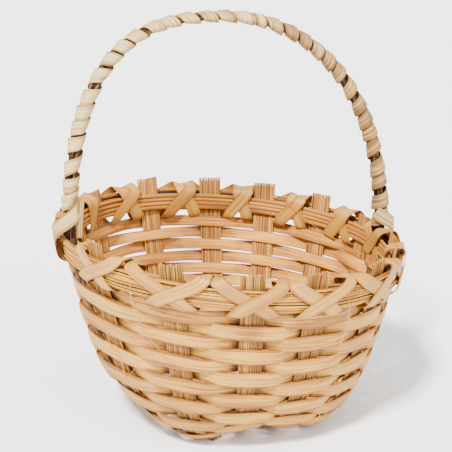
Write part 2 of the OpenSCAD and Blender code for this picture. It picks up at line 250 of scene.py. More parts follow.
def settled(p):
    """The round base drawn in and up along its sides, so that it stands on the mat and its corners."""
    q = np.array(p, float)
    r = np.maximum(1e-6, np.hypot(q[..., 0], q[..., 1]))
    mid_side = ((q[..., 0] ** 2 - q[..., 1] ** 2) / r ** 2) ** 2
    mid_side *= 1 - BASE_UNEVEN * np.maximum(0, q[..., 0] / r)
    drawn = mid_side * smooth((r - BASE_START) / BASE_RISE) * (1 - smooth((r - BASE_TOP) / BASE_FADE))
    q[..., :2] *= (1 - BASE_DRAW * drawn)[..., None]
    q[..., 2] += BASE_LIFT * drawn
    return q


def lean(p, share):
    q = settled(p)
    q[..., 2] -= RIM_TILT * np.asarray(p, float)[..., 0] * share
    return q


def lean_share(r):
    return np.clip((np.asarray(r, float) - LEAN_R) / (RIM_R - LEAN_R), 0, 1)


def wall_frame(r, degrees):
    """Outward normal, sideways direction and upward direction of the wall."""
    a, s = np.radians(degrees), steep(r)
    r, a, s = np.broadcast_arrays(np.asarray(r, float), a, s)
    normal = np.stack([np.sin(s) * np.cos(a), np.sin(s) * np.sin(a), -np.cos(s)], -1)
    side = np.stack([-np.sin(a), np.cos(a), 0 * a], -1)
    return normal, side, np.cross(normal, side)


def spot(r, degrees, out):
    r, degrees = np.broadcast_arrays(np.asarray(r, float), np.asarray(degrees, float))
    flat = np.concatenate([polar(r, degrees), wall_z(r)[..., None]], -1)
    normal = wall_frame(r, degrees)[0]
    return lean(flat + normal * np.asarray(out)[..., None], lean_share(r))


def row_radii():
    radii = [along(along(RIM_R, -TOP_ROW_DROP / 2), -TOP_ROW_DROP / 2)]
    for _ in range(ROWS - 1):
        radii.append(along(radii[-1], -ROW_PITCH))
    return radii


ROW_R = row_radii()


# ---- Stakes ----

def stake_side(k):
    return (k + 2) // 4 * 90


def stake_offset(k):
    return ((k + 2) % 4 - 1.5) * FLOOR_PITCH


def opposite(k):
    """The stake at the other end of stake k's splint."""
    return ((k + 2) // 4 * 8 + 7 - k) % STAKES


def exit_r(k):
    return math.hypot(FLOOR_EDGE, stake_offset(k))


def stake_dir(k, r):
    start = stake_side(k) + math.degrees(math.atan2(stake_offset(k), FLOOR_EDGE))
    end = turn_to(start, STAKE_DIRS[k])
    share = np.clip((np.asarray(r, float) - exit_r(k)) / (FAN_R - exit_r(k)), 0, 1)
    return start + (end - start) * share


def foot_dir(foot, r):
    return FOOT_DIRS[foot] + (FOOT_TURN * (1 - lift(r)) if foot == 1 else 0 * lift(r))


def weave_side(row, k):
    return 1 if (row + k) % 2 == 1 else -1


# ---- Mesh building ----

class Build:
    """Collects ribbons and rods into one mesh with UVs in metres and a colour attribute of tone, side and
    painted shade.
    shift gives a strip a part of the texture of its own."""

    def __init__(self):
        self.points, self.faces, self.uvs, self.tones_and_shade = [], [], [], []
        self.count = 0

    def ring_sweep(self, rings, v, closed, tone, inner, shift=0.0, depth=None, painted_edge_shade=None):
        """rings is (n, m, 3); v is each ring point's place across in mm; inner is 1 on the inner face.
        depth is how far out of the wall the strip lies: each face gets a painted shade where it goes behind
        a stake."""
        n, m = rings.shape[:2]
        middle = rings.mean(1)
        steps = np.linalg.norm(np.diff(np.concatenate([middle, middle[:1]]), axis=0), axis=1)
        u = np.concatenate([[0], np.cumsum(steps)])
        spans = n if closed else n - 1
        i = np.arange(spans)[:, None]
        j = np.arange(m)[None, :]
        i2, j2 = (i + 1) % n, (j + 1) % m
        quads = np.stack([i * m + j, i * m + j2, i2 * m + j2, i2 * m + j + 0 * i2], -1).reshape(-1, 4)
        ua = np.broadcast_to(u[:spans, None], (spans, m))
        ub = np.broadcast_to(u[1:spans + 1, None], (spans, m))
        va = np.broadcast_to(v[None, :], (spans, m))
        vb = np.broadcast_to(v[(np.arange(m) + 1) % m][None, :], (spans, m))
        uv = np.stack([np.stack([ua, va], -1), np.stack([ua, vb], -1),
                       np.stack([ub, vb], -1), np.stack([ub, va], -1)], 2).reshape(-1, 4, 2)
        uv[..., 1] += shift
        tone = np.broadcast_to(np.asarray(tone, float), (n,))
        ta, tb = tone[np.arange(spans)], tone[(np.arange(spans) + 1) % n]
        t = np.stack([ta, ta, tb, tb], -1)[:, None, :].repeat(m, 1).reshape(-1, 4)
        # Painted shade along the strip's edges, added to its tone
        if painted_edge_shade is not None:
            ja, jb = np.arange(m), (np.arange(m) + 1) % m
            edge = np.stack([painted_edge_shade[ja], painted_edge_shade[jb], painted_edge_shade[jb], painted_edge_shade[ja]], -1)
            t = t + np.tile(edge, (spans, 1))
        g = np.broadcast_to(inner[None, :], (spans, m)).reshape(-1, 1).repeat(4, 1)
        # sh is a painted shade: darker where the strip goes behind a stake
        sh = 0 * t
        if depth is not None:
            da, db = depth[np.arange(spans)], depth[(np.arange(spans) + 1) % n]
            d = np.stack([da, da, db, db], -1)[:, None, :].repeat(m, 1).reshape(-1, 4)
            sh = np.where(g > 0.5, INNER_SHADE * smooth((d - INNER_FROM) / INNER_OVER),
                          OUTER_SHADE * smooth((-OUTER_FROM - d) / OUTER_OVER))
        colour = np.stack([t, g, sh, 0 * t + 1], -1)
        self.points.append(rings.reshape(-1, 3))
        self.faces.append(quads + self.count)
        self.uvs.append(uv * MM)
        self.tones_and_shade.append(colour)
        if not closed:
            for end, order in ((0, np.arange(m)[::-1]), (n - 1, np.arange(m))):
                half = m // 2
                a = order[:half]
                b = order[half:][::-1]
                caps = np.stack([a[:-1], a[1:], b[1:], b[:-1]], -1)
                self.faces.append(caps + end * m + self.count)
                self.uvs.append(np.zeros((len(caps), 4, 2)) + [0, shift * MM])
                c = np.ones((len(caps), 4, 4)) * [float(tone[end]), 0.6, 0.0, 1]
                self.tones_and_shade.append(c)
        self.count += n * m

    def ribbon(self, path, side, normal, width, thick, cup=0.0, closed=False, across=5,
               tone=0.5, shift=0.0, edge=0.25, depth=None, edge_shade=-0.28):
        """A flat strip along path; cup lifts its middle along normal, edge rounds its sides, and a painted
        shade darkens its sides.
        """
        n = len(path)
        v = np.linspace(-1, 1, across)
        width = np.broadcast_to(np.asarray(width, float), (n,))[:, None, None]
        thick = np.broadcast_to(np.asarray(thick, float), (n,))[:, None, None]
        cup = np.broadcast_to(np.asarray(cup, float), (n,))[:, None, None]
        ring_v = np.concatenate([v, v[::-1]])[None, :, None]
        face = np.concatenate([np.ones(across), -np.ones(across)])[None, :, None]
        thin = 1 - edge * np.abs(ring_v) ** 6
        rings = (path[:, None, :] + side[:, None, :] * ring_v * width / 2
                 + normal[:, None, :] * (cup * (1 - ring_v ** 2) + face * thick / 2 * thin))
        inner = np.concatenate([np.zeros(across), np.ones(across)])
        flat = np.concatenate([v, v[::-1]]) * float(width.mean()) / 2
        # Painted shade: the tone darkens towards both edges of the strip
        painted_edge_shade = edge_shade * np.abs(np.concatenate([v, v[::-1]])) ** 6
        self.ring_sweep(rings, flat, closed, tone, inner, shift, depth, painted_edge_shade)

    def rod(self, path, side, normal, width, height, closed=False, sides=8, tone=0.5, shift=0.0):
        n = len(path)
        a = 2 * math.pi * (np.arange(sides) + 0.5) / sides
        width = np.broadcast_to(np.asarray(width, float), (n,))[:, None, None]
        height = np.broadcast_to(np.asarray(height, float), (n,))[:, None, None]
        rings = (path[:, None, :] + side[:, None, :] * np.cos(a)[None, :, None] * width / 2
                 + normal[:, None, :] * np.sin(a)[None, :, None] * height / 2)
        flat = a / (2 * math.pi) * math.pi * float(width.mean())
        self.ring_sweep(rings, flat, closed, tone, (np.sin(a) < 0).astype(float), shift)

    def done(self, name, material, slot, *nodes):
        mesh = bpy.data.meshes.new(name)
        points = np.concatenate(self.points) * MM
        faces = np.concatenate(self.faces)
        mesh.vertices.add(len(points))
        mesh.vertices.foreach_set("co", points.astype(np.float32).ravel())
        mesh.loops.add(faces.size)
        mesh.loops.foreach_set("vertex_index", faces.astype(np.int32).ravel())
        mesh.polygons.add(len(faces))
        mesh.polygons.foreach_set("loop_start", np.arange(0, faces.size, 4, dtype=np.int32))
        mesh.update(calc_edges=True)
        layer = mesh.uv_layers.new(name="UVMap")
        layer.data.foreach_set("uv", np.concatenate(self.uvs).astype(np.float32).ravel())
        tone = mesh.color_attributes.new("tone_side_shade", "FLOAT_COLOR", "CORNER")
        tone.data.foreach_set("color", np.concatenate(self.tones_and_shade).astype(np.float32).ravel())
        mesh.polygons.foreach_set("use_smooth", np.ones(len(faces), bool))
        mesh.set_sharp_from_angle(angle=math.radians(50))
        mesh.validate()
        mesh.materials.append(material)
        piece = bpy.data.objects.new(name, mesh)
        bpy.context.scene.collection.objects.link(piece)
        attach(piece, "root")
        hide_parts(*nodes)
        return piece


# ---- Materials ----

# SHADED is the colour of the painted shade behind stakes
SHADED = (0.30, 0.18, 0.10)
GREYED = (0.86, 0.82, 0.80)
ALBEDO = 0.62
RAMP_STOPS = (0.26, 0.5, 0.74)
FINE_SHARE, BROAD_SHARE, LEVEL_MIDDLE = 0.8, 1.2, 0.97
RELIEF = 0.3 * MM

# Noise: scale along and across the strip, detail and roughness
PATCHES, CLOUDS = (28.0, 130.0, 2.0, 0.5), (9.0, 35.0, 1.0, 0.5)

# Noise range and the strength it maps to
CRACKS = (0.30, 0.43, 0.85, 0.0)
STREAKS = (0.34, 0.5, 0.75, 0.0)
GREYING = (0.5, 0.66, 0.0, 1.0)


def fibre_material(name, colours, inner, dark, streak=(60.0, 2600.0), rough=0.62, bump=0.45,
                   blotch=0.5, specular=0.35):
    """Split wood: fine fibres along the strip, broader streaks, blotches, and a pith side of its own colour,
    duller on most strips;
    on weavers and splints it is lighter, partly as painted light for the shaded inside of the bowl.
    colours are the light, middle and deep tones; the colour attribute holds each strip's own tone, its side
    and a painted shade behind stakes."""
    m = bpy.data.materials.new(name)
    m.use_nodes = True
    t = m.node_tree
    t.nodes.clear()

    def node(kind, **values):
        n = t.nodes.new(kind)
        for key, value in values.items():
            setattr(n, key, value)
        return n

    def link(a, b):
        t.links.new(a, b)

    def math_node(operation, a, b):
        n = node("ShaderNodeMath", operation=operation)
        for socket, value in zip(n.inputs, (a, b)):
            if isinstance(value, (int, float)):
                socket.default_value = value
            else:
                link(value, socket)
        return n.outputs[0]

    def mix(kind, share, a, b):
        n = node("ShaderNodeMix", data_type="RGBA", blend_type=kind)
        for socket, value in ((n.inputs[0], share), (n.inputs[6], a), (n.inputs[7], b)):
            if isinstance(value, (int, float)):
                socket.default_value = value
            elif isinstance(value, tuple):
                socket.default_value = (*value, 1)
            else:
                link(value, socket)
        return n.outputs[2]

    def noise(scale_u, scale_v, detail, rough_):
        place = node("ShaderNodeMapping")
        place.inputs["Scale"].default_value = (scale_u, scale_v, 1)
        link(uv.outputs["UV"], place.inputs["Vector"])
        n = node("ShaderNodeTexNoise")
        n.inputs["Scale"].default_value = 1.0
        n.inputs["Detail"].default_value = detail
        n.inputs["Roughness"].default_value = rough_
        link(place.outputs[0], n.inputs["Vector"])
        return n.outputs["Fac"]

    def remap(value, low, high, start, end):
        n = node("ShaderNodeMapRange")
        for key, number in (("From Min", low), ("From Max", high), ("To Min", start), ("To Max", end)):
            n.inputs[key].default_value = number
        link(value, n.inputs["Value"])
        return n.outputs[0]

    uv = node("ShaderNodeUVMap", uv_map="UVMap")
    tone = node("ShaderNodeAttribute", attribute_name="tone_side_shade")
    split = node("ShaderNodeSeparateColor")
    link(tone.outputs["Color"], split.inputs[0])
    fine = noise(streak[0], streak[1], 3.0, 0.6)
    broad = noise(streak[0] * 0.3, streak[1] * 0.5, 3.0, 0.65)
    patch = noise(*PATCHES)
    cloud = noise(*CLOUDS)
    fibres = math_node("MULTIPLY", fine, FINE_SHARE)
    level = math_node("ADD", fibres, math_node("MULTIPLY", broad, BROAD_SHARE))
    level = math_node("ADD", level, math_node("MULTIPLY", patch, blotch))
    level = math_node("ADD", level, math_node("SUBTRACT", split.outputs[0], LEVEL_MIDDLE + blotch / 2))
    ramp = node("ShaderNodeValToRGB")
    stops = ramp.color_ramp.elements
    stops.remove(stops[-1])
    stops[0].position = RAMP_STOPS[0]
    for position in RAMP_STOPS[1:]:
        stops.new(position)
    for stop, colour in zip(stops, reversed(colours)):
        stop.color = (*(ALBEDO * c for c in colour), 1)
    link(level, ramp.inputs[0])
    pith = mix("MULTIPLY", split.outputs[1], ramp.outputs[0], inner)
    cracks = remap(fine, *CRACKS)
    streaks = remap(noise(streak[0] * 0.5, streak[1] * 0.42, 2.0, 0.55), *STREAKS)
    greyed = remap(cloud, *GREYING)
    colour = mix("MULTIPLY", greyed, pith, GREYED)
    colour = mix("MULTIPLY", streaks, colour, dark)
    colour = mix("MULTIPLY", cracks, colour, dark)
    # Painted shade behind stakes darkens the colour towards SHADED
    colour = mix("MULTIPLY", split.outputs[2], colour, SHADED)
    shader = node("ShaderNodeBsdfPrincipled")
    link(colour, shader.inputs["Base Color"])
    shader.inputs["Specular IOR Level"].default_value = specular
    link(remap(broad, 0.0, 1.0, rough - 0.1, rough + 0.14), shader.inputs["Roughness"])
    relief = node("ShaderNodeBump")
    relief.inputs["Strength"].default_value = bump
    relief.inputs["Distance"].default_value = RELIEF
    link(math_node("ADD", math_node("MULTIPLY", fine, 0.6), math_node("MULTIPLY", broad, 0.4)),
         relief.inputs["Height"])
    link(relief.outputs[0], shader.inputs["Normal"])
    out = node("ShaderNodeOutputMaterial")
    link(shader.outputs[0], out.inputs[0])
    return m


# Weavers and splints: inner factors above one give the pith side its colour and also lighten it as painted
# light for the shaded inside of the bowl
WEAVER = fibre_material(
    "weaver_wood", [(0.93, 0.50, 0.074), (0.76, 0.35, 0.040), (0.40, 0.15, 0.016)], (1.22, 1.12, 1.22),
    (0.52, 0.34, 0.21), streak=(45.0, 2100.0))
SPLINT = fibre_material(
    "splint_bamboo", [(0.88, 0.50, 0.095), (0.68, 0.33, 0.045), (0.36, 0.14, 0.016)], (1.22, 1.12, 1.2),
    (0.5, 0.34, 0.2), streak=(30.0, 2600.0), bump=0.6)
# Splint cores: the dark colours are painted shade between the slivers; the large inner factor makes the
# inner face tan
PITH_AND_GAP_SHADE = fibre_material(
    "splint_pith_and_gap_shade", [(0.20, 0.078, 0.016), (0.11, 0.039, 0.008), (0.045, 0.015, 0.004)], (3.2, 3.8, 4.0),
    (0.5, 0.34, 0.2), streak=(60.0, 2600.0), bump=0.6)
# Very dark rim cores: painted shade in the gaps between the rim slivers
RIM_SHADE_CORE = fibre_material(
    "rim_core_shade", [(0.22, 0.085, 0.018), (0.12, 0.042, 0.009), (0.05, 0.017, 0.004)], (0.9, 0.8, 0.7),
    (0.5, 0.34, 0.2), streak=(60.0, 2600.0), bump=0.6)
RIM = fibre_material(
    "rim_sliver", [(0.90, 0.47, 0.055), (0.76, 0.33, 0.028), (0.43, 0.145, 0.011)], (0.92, 0.84, 0.86),
    (0.5, 0.34, 0.2), streak=(30.0, 2400.0), bump=0.5)
LASHING = fibre_material(
    "lashing_strip", [(0.84, 0.46, 0.062), (0.71, 0.34, 0.034), (0.46, 0.17, 0.014)], (0.92, 0.80, 0.66),
    (0.66, 0.50, 0.33), streak=(24.0, 2300.0), rough=0.5, bump=0.25, blotch=0.4, specular=0.45)
WRAP = fibre_material(
    "wrap_strip", [(0.88, 0.66, 0.29), (0.62, 0.36, 0.105), (0.26, 0.13, 0.032)], (0.7, 0.55, 0.4),
    (0.56, 0.42, 0.30), streak=(40.0, 1900.0), rough=0.66, bump=0.5, blotch=0.7)
CANE = fibre_material(
    "dark_cane", [(0.34, 0.18, 0.062), (0.058, 0.027, 0.009), (0.02, 0.009, 0.003)], (0.9, 0.9, 0.9),
    (0.4, 0.3, 0.2), streak=(120.0, 1500.0), rough=0.7, bump=0.7, specular=0.2)
WEATHERED = fibre_material(
    "weathered_strip", [(0.62, 0.47, 0.34), (0.44, 0.32, 0.22), (0.24, 0.17, 0.12)], (0.9, 0.8, 0.7),
    (0.6, 0.5, 0.4), streak=(45.0, 1500.0), rough=0.75, bump=0.5)


# ---- Weavers ----

def anchored(degrees, anchors, hold, stay=0.0):
    """Smooth curve through anchors (direction, value) round the circle, flat near each one.
    stay is the share of each gap for which it stays near the higher value."""
    anchors = sorted(anchors)
    dirs = np.array([a[0] for a in anchors] + [anchors[0][0] + 360])
    values = np.array([a[1] for a in anchors] + [anchors[0][1]])
    d = (degrees - dirs[0]) % 360 + dirs[0]
    i = np.clip(np.searchsorted(dirs, d, side="right") - 1, 0, len(dirs) - 2)
    gap = dirs[i + 1] - dirs[i]
    h = np.minimum(hold, gap * 0.3)
    t = (d - dirs[i] - h) / (gap - 2 * h)
    t = smooth(np.where(values[i] > values[i + 1], (t - stay) / (1 - stay), t / (1 - stay)))
    return values[i] + (values[i + 1] - values[i]) * t


def between(degrees, dirs):
    """0 at each of dirs and 1 half way between them."""
    dirs = np.sort(np.array(dirs) % 360)
    dirs = np.append(dirs, dirs[0] + 360)
    d = (degrees - dirs[0]) % 360 + dirs[0]
    i = np.clip(np.searchsorted(dirs, d, side="right") - 1, 0, len(dirs) - 2)
    t = (d - dirs[i]) / (dirs[i + 1] - dirs[i])
    return np.sin(math.pi * t)


def weaver(row):
    build = Build()
    radius = ROW_R[row - 1]
    n = 400
    degrees = np.linspace(0, 360, n, endpoint=False)
    dirs = [float(stake_dir(k, radius)) % 360 for k in range(STAKES)]
    r = rng(100 + row)
    outs = [(dirs[k], (OUT_OVER if weave_side(row, k) > 0 else OUT_UNDER) + OUT_UNEVEN * r.normal())
            for k in range(STAKES)]
    widths = [(dirs[k], (WIDE_OVER if weave_side(row, k) > 0 else WIDE_UNDER) + WIDE_UNEVEN * r.normal())
              for k in range(STAKES)]
    hold = math.degrees(HOLD / radius)
    # behind leaves out the handle's feet, so the painted shade falls only behind stakes
    behind = anchored(degrees, outs, hold, STAY)
    if row <= CANE_ROWS:
        for foot in (0, 1):
            outs.append((float(foot_dir(foot, radius)) % 360, weave_side(row, 1) * FOOT_OUT))
    out = anchored(degrees, outs, hold, STAY) * (FLAT_SHARE if row > ROWS - FLAT_ROWS else 1.0)
    lump = 0 * degrees
    if row == ROWS:
        lump = sum(np.exp(-((degrees - d) / LUMP_SPREAD) ** 2) for d in BASE_LUMPS)
    middle = between(degrees, dirs)
    away = smooth(1.6 * np.sin(np.radians(degrees))) * (1 if row <= BACK_ROWS else BACK_LOW)
    width = anchored(degrees, widths, hold) * (1 - middle) + MIDDLE_W * middle
    width *= 1 - BACK_NARROW * away
    width += EDGE_WAVE * wander(200 + row, degrees, 360, 9)
    width += EDGE_RIPPLE * wander(600 + row, degrees, 360, 45)
    width += LUMP_WIDER * lump
    wobble = ROW_WOBBLE * wander(300 + row, degrees, 360, 7)
    centre_r = along(radius, wobble + LUMP_OUT * lump)
    path = spot(centre_r, degrees, out)
    normal, _, up = wall_frame(centre_r, degrees)
    ahead = unit(np.roll(path, -1, 0) - np.roll(path, 1, 0))
    up = unit(up - ahead * (up * ahead).sum(1, keepdims=True))
    twist = TWIST * wander(400 + row, degrees, 360, 12)[:, None]
    normal = unit(np.cross(ahead, up))
    normal *= np.sign((normal * wall_frame(centre_r, degrees)[0]).sum(1, keepdims=True))
    up = unit(up + normal * twist)
    cup = CUP * np.clip(out / FULL_OUT, -1, 1) * (1 - 0.5 * middle)
    tone = varied(WEAVER_TONE, r, 500 + row, degrees, 360, 6)
    if row in STAIN_ROWS:
        tone = tone - STAIN_DARK * np.exp(-((degrees - STAIN_DIR) / STAIN_SPREAD) ** 2)
    build.ribbon(path, up, normal, width, WEAVER_T, cup, closed=True, across=7, tone=tone,
                 shift=row * 37.0, depth=behind, edge_shade=WEAVER_EDGE_SHADE)
    return build.done(f"weaver_strip_{row}", WEAVER, "weaver", f"weaver_row_{row}")


# ---- Floor splints with their stakes, each a flat bundle of slivers ----

def stake_undulation(k, r):
    """How far the weavers push a stake in or out at radius r."""
    rows = np.array(ROW_R)
    push = np.array([-STAKE_PUSH * weave_side(row, k) for row in range(1, ROWS + 1)])
    return np.interp(r, rows[::-1], push[::-1]) * smooth((r - TURN_R) / 6)


def stake_line(k):
    """Middle line of stake k from the floor's edge to its end above the rim, with its frame."""
    top = STUB_H - STUB_SHORT.get(k, 0)
    start = exit_r(k)
    floor_part = np.linspace(start, TURN_R, 8)[:-1]
    wall_part = np.linspace(TURN_R, RIM_R, 42)
    stub = [along(RIM_R, top * f) for f in (0.3, 0.55, 0.8, 1.0)]
    r = np.concatenate([floor_part, wall_part, stub])
    degrees = stake_dir(k, r)
    raised = (1 if k % 2 == 0 else -1) * FLOOR_WAVE * smooth((TURN_R - r) / 6)
    square = smooth((r - start) / (FACE_R - start))
    facing = stake_side(k) + (degrees - stake_side(k)) * square
    path = spot(r, degrees, raised + stake_undulation(k, r))
    normal = wall_frame(r, facing)[0]
    side = wall_frame(r, facing)[1]
    return path, side, normal


def cut_line(line, a, b):
    """Pulls in the two ends of a line by a and b mm."""
    line = line.copy()
    for end, before, cut in ((0, 1, a), (-1, -2, b)):
        last = line[end] - line[before]
        reach = np.linalg.norm(last)
        line[end] = line[before] + last * max(0.1, 1 - cut / reach)
    return line


def splint(name, head, node, seed):
    """A floor splint that turns up as stake head at one end and as the opposite stake at the other."""
    tail = opposite(head)
    build = Build()
    r = rng(seed)
    head_path, head_side, head_normal = stake_line(head)
    tail_path, tail_side, tail_normal = stake_line(tail)
    angle = math.radians(stake_side(head))
    offset = stake_offset(head)
    x = np.linspace(-FLOOR_EDGE, FLOOR_EDGE, 42)[1:-1]
    phase = -1 if head % 2 == 0 else 1
    crossings = (np.arange(4) - 1.5) * FLOOR_PITCH
    heights = np.array([phase * (-1 if i % 2 == 0 else 1) * FLOOR_WAVE for i in range(4)])
    z = np.interp(x, np.concatenate([[c - 4, c + 4] for c in crossings]), np.repeat(heights, 2))
    flat = np.stack([x * math.cos(angle) - offset * math.sin(angle),
                     x * math.sin(angle) + offset * math.cos(angle), FLOOR_MID + z], -1)
    flat_side = np.tile([-math.sin(angle), math.cos(angle), 0.0], (len(x), 1))
    flat_normal = np.tile([0.0, 0.0, -1.0], (len(x), 1))
    path = np.concatenate([tail_path[::-1], flat, head_path])
    side = np.concatenate([-tail_side[::-1], flat_side, head_side])
    normal = np.concatenate([tail_normal[::-1], flat_normal, head_normal])
    length = np.concatenate([[0], np.cumsum(np.linalg.norm(np.diff(path, axis=0), axis=1))])
    total = length[-1]
    edges = np.cumsum(r.uniform(*SLIVER_SHARE, SLIVERS))
    edges = np.concatenate([[0], edges]) / edges[-1] * SPLINT_W - SPLINT_W / 2
    flare = smooth((length - total + FLARE_RUN) / FLARE_RUN) + smooth((FLARE_RUN - length) / FLARE_RUN)
    spread = 1 + FLARE * flare
    ragged = np.array([RAGGED_FRONT if math.sin(math.radians(STAKE_DIRS[k])) < 0 else RAGGED_BACK
                       for k in (tail, head)])
    for i in range(SLIVERS):
        middle = (edges[i] + edges[i + 1]) / 2
        width = (edges[i + 1] - edges[i]) * SLIVER_FILL
        drift = SLIVER_DRIFT * wander(seed * 50 + i, length, total, 9)
        raised = SLIVER_WAVE * wander(seed * 70 + i, length, total, 8) + SLIVER_STEP * r.normal()
        cut_a, cut_b = np.abs(r.normal(0, 1, 2)) * ragged
        line = path + side * (middle * spread + drift)[:, None] + normal * raised[:, None]
        splay = SPLAY * ragged * r.normal(0, 1, 2)
        line = line + side * (splay[0] * smooth((SPLAY_RUN - length) / SPLAY_RUN)
                              + splay[1] * smooth((length - total + SPLAY_RUN) / SPLAY_RUN))[:, None]
        line = cut_line(line, cut_a, cut_b)
        line[:, 2] = np.maximum(line[:, 2], LOWEST)
        tone = varied(SLIVER_TONE, r, seed * 90 + i, length, total, 8)
        build.ribbon(line, side, normal, width, r.uniform(*SLIVER_T), across=3,
                     tone=tone, shift=seed * 31.0 + i * 7.3, edge=0.5)
    # The core shows between the slivers: dark outside as painted shade, tan on the inner face
    core = Build()
    core.ribbon(path[1:-1], side[1:-1], normal[1:-1], SPLINT_W - 2 * CORE_EDGE, CORE_T, across=3,
                shift=seed * 17.0)
    core.done(f"{name}_pith", PITH_AND_GAP_SHADE, "splint", node)
    return build.done(name, SPLINT, "splint", node)


# ---- Rim ----

def rim_strand(build, z, out, width, height, seed, tone, wob):
    """One sliver of a rim bundle; wob is how far it strays."""
    n = 220
    degrees = np.linspace(0, 360, n, endpoint=False)
    zz = z + wob * wander(seed, degrees, 360, 6)
    rr = wall_r(z) + out + wob * 0.5 * wander(seed + 1, degrees, 360, 6)
    path = lean(np.concatenate([polar(rr, degrees), zz[:, None]], -1), 1.0)
    radial = np.concatenate([polar(np.ones(n), degrees), np.zeros((n, 1))], -1)
    up = np.tile(UP, (n, 1))
    build.rod(path, up, radial, height, width, closed=True,
              tone=tone + 0.06 * wander(seed + 2, degrees, 360, 5), shift=seed * 3.1)


def rim_core(name, slot, low, high, out, *nodes):
    """The inside of the rim bundle, a dark brown that is painted shade seen between its slivers."""
    build = Build()
    degrees = np.linspace(0, 360, 120, endpoint=False)
    z = (low + high) / 2
    radial = np.concatenate([polar(1.0, degrees), np.zeros((120, 1))], -1)
    path = lean(radial * (wall_r(z) + out) + UP * z, 1.0)
    slope = (wall_r(high) - wall_r(low)) / (high - low)
    height = high - low - 2 * RIM_CORE_EDGE
    build.ribbon(path, unit(UP + radial * slope), radial, height, RIM_CORE_T, closed=True, across=3)
    build.done(name, RIM_SHADE_CORE, slot, *nodes)


def rim():
    r = rng(7)
    rim_core("rim_outer_shade_core", "rim_outer", OUTER_LOW, OUTER_HIGH, CORE_OUT, "rim_outer_strand_1")
    rim_core("rim_inner_shade_core", "rim_inner", INNER_LOW, INNER_HIGH, CORE_IN, "rim_inner_strand_1")
    for strand in range(3):
        build = Build()
        low = OUTER_LOW + strand * (OUTER_HIGH - OUTER_LOW) / 3
        for i in range(2):
            z = low + (i + 0.5) * (OUTER_HIGH - OUTER_LOW) / 6
            rim_strand(build, z, BROAD_OUT + 0.3 * r.normal(), *BROAD_SIZE, 900 + strand * 30 + i * 5,
                       0.5 + 0.16 * r.normal(), BROAD_STRAY)
        for i in range(2):
            z = low + (0.8 + i) * (OUTER_HIGH - OUTER_LOW) / 7
            rim_strand(build, z, FINE_OUT + 0.2 * r.random(), *FINE_SIZE, 990 + strand * 30 + i * 5,
                       0.62 + 0.1 * r.normal(), FINE_STRAY)
        build.done(f"rim_outer_slivers_{strand + 1}", RIM, "rim_outer", f"rim_outer_strand_{strand + 1}")
    for strand in range(2):
        build = Build()
        low = INNER_LOW + strand * (INNER_HIGH - INNER_LOW) / 2
        for i in range(2):
            z = low + (i + 0.5) * (INNER_HIGH - INNER_LOW) / 4
            rim_strand(build, z, INNER_OUT - 0.2 * r.random(), *INNER_SIZE, 1200 + strand * 30 + i * 5,
                       0.5 + 0.08 * r.normal(), INNER_STRAY)
        build.done(f"rim_inner_slivers_{strand + 1}", RIM, "rim_inner", f"rim_inner_strand_{strand + 1}")


def space(k):
    return turn_to(STAKE_DIRS[k], STAKE_DIRS[(k + 1) % STAKES]) - STAKE_DIRS[k]


def lash_foot(k, way):
    """Direction where a lashing comes out through the wall under the rim, beside stake k."""
    return STAKE_DIRS[k] - way * math.degrees(LASH_SIDE / RIM_R)


def lash_peak(k, way):
    """Direction where a lashing crosses the top of the rim, in the space after stake k."""
    edge = LASH_EDGE / (RIM_R * math.radians(space(k)))
    if k in (8, STAKES - 1):
        share = edge if way > 0 else 1 - edge
    else:
        sway = PEAK_SWAY * math.sin(math.radians(STAKE_DIRS[k] + space(k) / 2))
        share = (PEAK_OVER if way > 0 else PEAK_UNDER) - sway
    return STAKE_DIRS[k] + space(k) * share


def lash_outline(d):
    """Rounded outline of the rim bundle at distance d: points, normals and share of the crossing."""
    out_low, out_high = wall_r(OUTER_LOW) + LASH_CLEAR, wall_r(OUTER_HIGH) + LASH_CLEAR_TOP
    in_low, in_high = wall_r(INNER_LOW) - LASH_CLEAR, wall_r(INNER_HIGH) - LASH_CLEAR
    corners = np.array([[in_low + CORNER_IN, OUTER_LOW - BELOW_IN], [out_low, OUTER_LOW - BELOW_OUT],
                        [out_high - CORNER_ROUND, OUTER_HIGH + ABOVE_OUT],
                        [in_high + CORNER_ROUND, OUTER_HIGH + ABOVE_IN]])
    shares = [0.0, 0.0, 1.0, 1.0, 2.0]
    steps = [3, 12, 5, 10]
    points, along_share = [], []
    for c in range(4):
        a, b = corners[c], corners[(c + 1) % 4]
        for f in np.linspace(0, 1, steps[c], endpoint=False):
            points.append(a + (b - a) * f)
            along_share.append(shares[c] + (shares[c + 1] - shares[c]) * f)
    points = np.array(points)
    for _ in range(2):
        points = (np.roll(points, 1, 0) + 2 * points + np.roll(points, -1, 0)) / 4
    ahead = unit(np.roll(points, -1, 0) - np.roll(points, 1, 0))
    normals = np.stack([ahead[:, 1], -ahead[:, 0]], -1)
    bulge = np.array([math.sin(math.pi * s) * LASH_BULGE if s <= 1 else 0 for s in along_share])
    return points + normals * (d + bulge)[:, None], normals, np.array(along_share)


